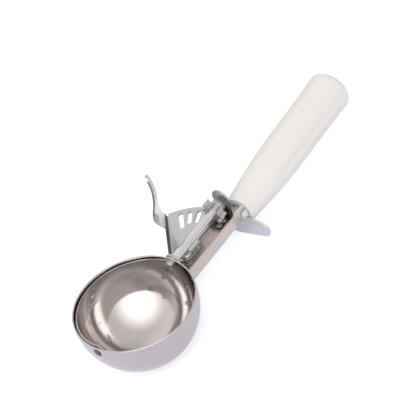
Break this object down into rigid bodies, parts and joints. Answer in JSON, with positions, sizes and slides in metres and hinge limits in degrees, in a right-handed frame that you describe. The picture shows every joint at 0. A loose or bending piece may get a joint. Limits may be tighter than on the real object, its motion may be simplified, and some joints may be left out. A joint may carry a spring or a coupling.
{
  "type": "lever ice cream scoop",
  "caption": "Round-bowled lever ice cream scoop: a thumb lever turns a pinion and shaft that sweep a scraper strip round the inside of the bowl; ivory moulded grip.",
  "frame": {"origin": "centre of the bowl's sphere, where the scraper shaft's axis crosses the bowl's own axis", "axes": "+Z out of the bowl's mouth, +X along the scraper shaft towards the handle, +Y towards the thumb lever's side"},
  "size_m": [0.2254, 0.067, 0.0653],
  "materials": {
    "polished_bowl": "mirror polished stainless steel, lightly brushed inside",
    "pressed_steel": "polished pressed stainless steel",
    "shaft_steel": "bright drawn stainless steel",
    "blade_steel": "polished spring steel strip",
    "pinion_steel": "cast and tumbled steel",
    "bearing_steel": "satin steel bracket",
    "spring_wire": "bright spring wire",
    "fixings": "plain steel rivets, pins and washers",
    "brass_bush": "plain brass bush",
    "ivory_grip": "ivory moulded plastic with a soft gloss"
  },
  "bodies": {
    "shank": {"bowl": "polished_bowl", "bowl_rivets": "fixings", "shank_channel": "pressed_steel", "front_bush": "fixings", "upper_bearing": "bearing_steel", "foot_rivets": "fixings", "pivot_post": "fixings", "pivot_washer": "fixings", "return_spring": "spring_wire", "shank_collar": "pressed_steel", "finger_guard": "pressed_steel", "handle_ferrule": "pressed_steel", "handle_tang": "fixings", "handle_grip": "ivory_grip"},
    "lever": {"thumb_lever": "pressed_steel", "lever_bush": "brass_bush"},
    "scraper": {"scraper_blade": "blade_steel", "scraper_shaft": "shaft_steel", "shaft_eye_washer": "fixings", "tip_eye_washer": "fixings", "blade_tip_pin": "fixings", "drive_pinion": "pinion_steel", "pinion_pin": "fixings", "thrust_washer": "fixings", "shaft_clip": "spring_wire"}
  },
  "joints": [
    {"name": "lever_pivot", "type": "hinge", "parent": "shank", "child": "lever", "pos_m": [0.044, 0, -0.0056], "axis": [0, 0, -1], "range_deg": [0, 35], "stiffness_Nm_per_rad": 0.12, "springref_deg": -20.05, "deforming": ["return_spring"]},
    {"name": "scraper_spin", "type": "hinge", "parent": "shank", "child": "scraper", "pos_m": [0, 0, 0], "axis": [-1, 0, 0], "range_deg": [0, 164.07]}
  ],
  "couplings": [
    {"joint": "scraper_spin", "follows": "lever_pivot", "ratio": 4.6875}
  ]
}
